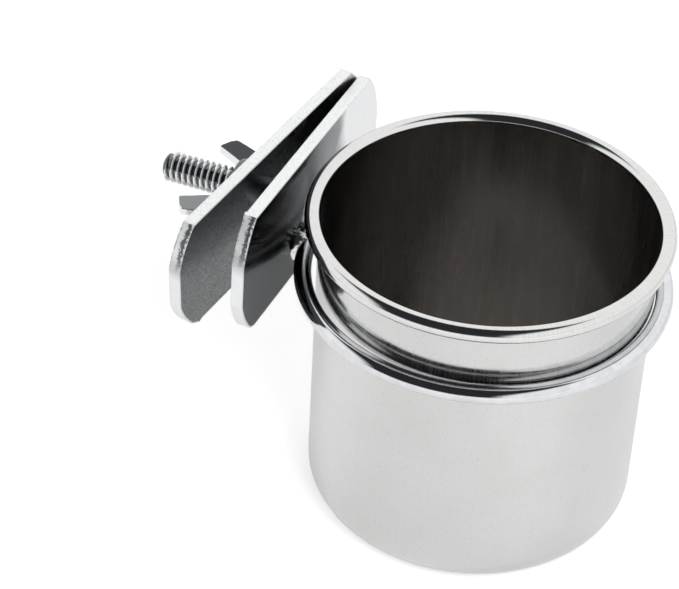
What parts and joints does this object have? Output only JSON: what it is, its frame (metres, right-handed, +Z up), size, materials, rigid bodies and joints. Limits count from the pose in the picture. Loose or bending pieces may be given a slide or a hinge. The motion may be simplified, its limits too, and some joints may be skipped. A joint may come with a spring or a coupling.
{
  "type": "clamp-on seed cup",
  "caption": "Deep drawn steel seed cup that lifts out of a wire ring, with two flat clamp jaws, a stud and a wing nut for cage bars.",
  "frame": {"origin": "centre of the cup's flat base, on the surface that it stands on", "axes": "+Z up the cup's axis, +X from the clamp towards the cup, +Y along the jaws to the end where they meet"},
  "size_m": [0.1022, 0.0715, 0.0692],
  "materials": {
    "drawn_steel": "polished bright outside, duller drawn inside",
    "polished_wire": "mirror polished",
    "weld_metal": "as welded, bright",
    "plated_strip": "bright plated, sheared edges",
    "plated_thread": "bright plated rolled thread",
    "plated_casting": "bright plated casting, slightly rough"
  },
  "bodies": {
    "holder": {"holder_ring": "polished_wire", "ring_weld": "weld_metal", "inner_plate": "plated_strip", "clamp_stud": "plated_thread"},
    "cup": {"cup": "drawn_steel"},
    "washer": {"washer": "plated_thread"},
    "wing_nut": {"wing_nut": "plated_casting"},
    "loose_jaw": {"outer_plate": "plated_strip"}
  },
  "joints": [
    {"name": "cup_lift", "type": "slide", "parent": "holder", "child": "cup", "axis": [0, 0, 1], "range_m": [-0.0097, 0.06]},
    {"name": "nut_travel", "type": "slide", "parent": "holder", "child": "washer", "axis": [1, 0, 0], "range_m": [-0.00131, 0.00628]},
    {"name": "nut_spin", "type": "hinge", "parent": "washer", "child": "wing_nut", "pos_m": [-0.04819, 0, 0.0546], "axis": [1, 0, 0], "range_deg": [-370, 1781]},
    {"name": "jaw_swing", "type": "hinge", "parent": "holder", "child": "loose_jaw", "pos_m": [-0.03849, 0.03109, 0.06144], "axis": [0, -0.2147, 0.9767], "range_deg": [-2, 9.3]}
  ],
  "couplings": [
    {"joint": "nut_travel", "follows": "nut_spin", "m_per_rad": 0.00020213},
    {"joint": "jaw_swing", "follows": "nut_spin", "ratio": 0.0052208}
  ]
}
